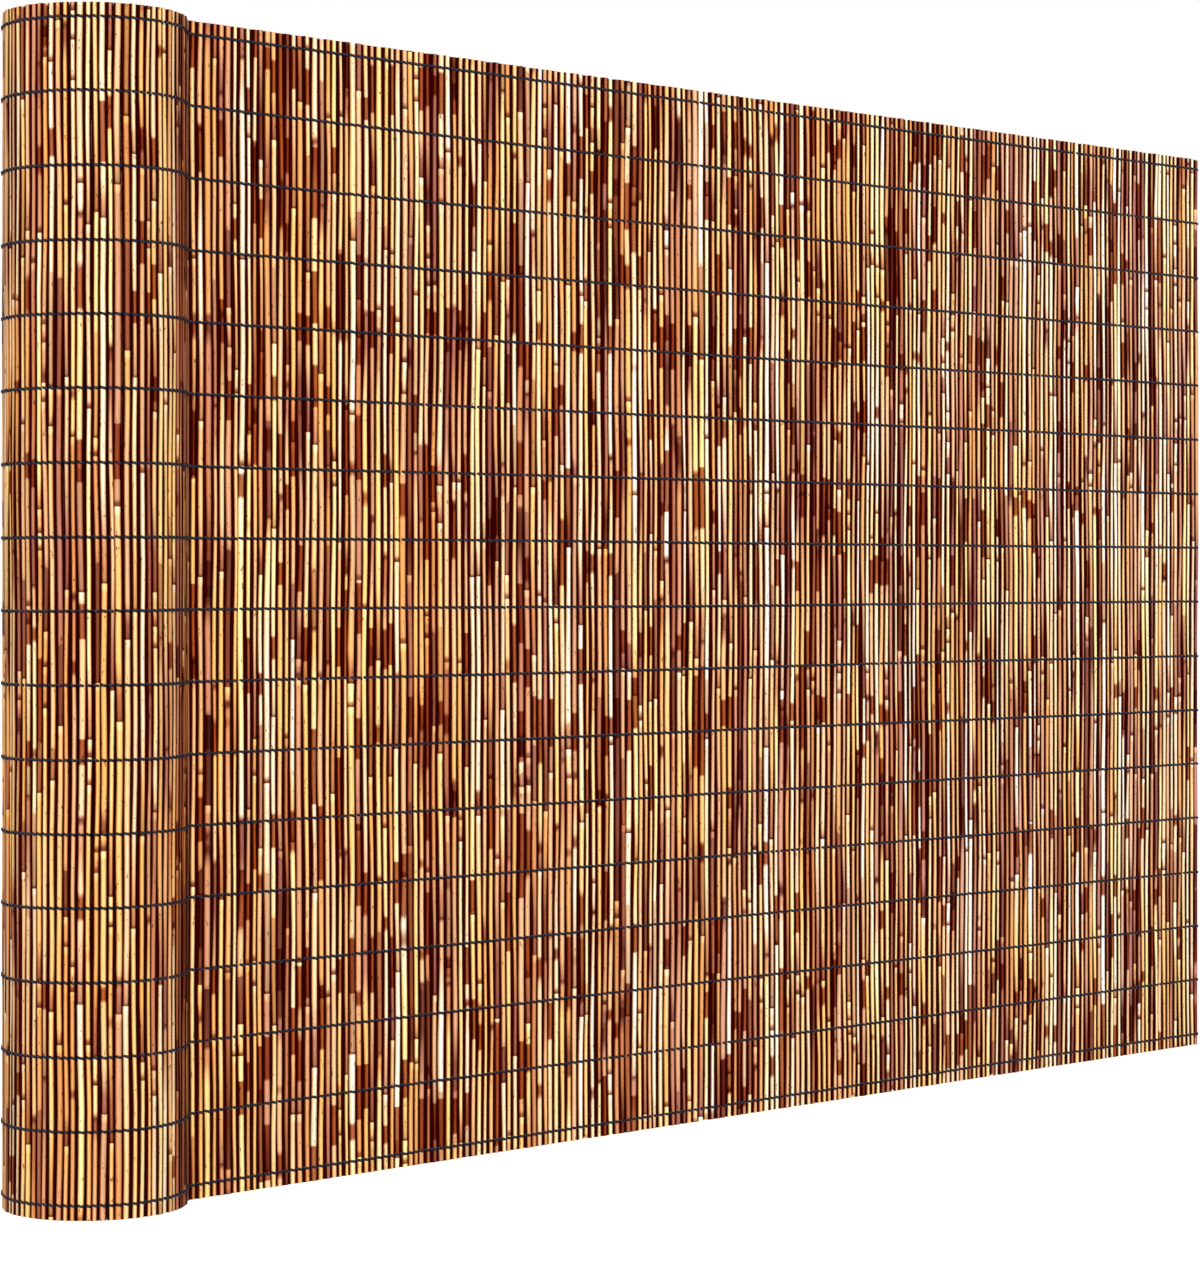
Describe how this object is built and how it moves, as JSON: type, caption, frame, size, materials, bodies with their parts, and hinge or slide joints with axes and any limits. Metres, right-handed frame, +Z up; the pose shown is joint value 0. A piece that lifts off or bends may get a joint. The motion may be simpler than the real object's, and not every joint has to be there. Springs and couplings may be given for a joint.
{
  "type": "reed screen",
  "caption": "Reed screen of upright reeds bound in rows with dark wire, half unrolled: a standing roll at one end and a flat stretch running on from it.",
  "frame": {"origin": "middle of the overall box in plan, on the plane that the reeds' lower ends stand on", "axes": "+X along the flat stretch, away from the roll; the front of the flat stretch faces -Y; +Z up along the reeds"},
  "size_m": [1.5752, 0.1572, 1],
  "materials": {
    "reed": "dry stained reed, straw to brown, satin, with darker nodes and sheaths",
    "binding_wire": "dark navy coated wire, two thin strands twisted"
  },
  "bodies": {
    "root": {"reed_mat": "reed", "binding_wire_01": "binding_wire", "binding_wire_02": "binding_wire", "binding_wire_03": "binding_wire", "binding_wire_04": "binding_wire", "binding_wire_05": "binding_wire", "binding_wire_06": "binding_wire", "binding_wire_07": "binding_wire", "binding_wire_08": "binding_wire", "binding_wire_09": "binding_wire", "binding_wire_10": "binding_wire", "binding_wire_11": "binding_wire", "binding_wire_12": "binding_wire", "binding_wire_13": "binding_wire", "binding_wire_14": "binding_wire", "binding_wire_15": "binding_wire", "binding_wire_16": "binding_wire", "binding_wire_17": "binding_wire"}
  },
  "joints": []
}
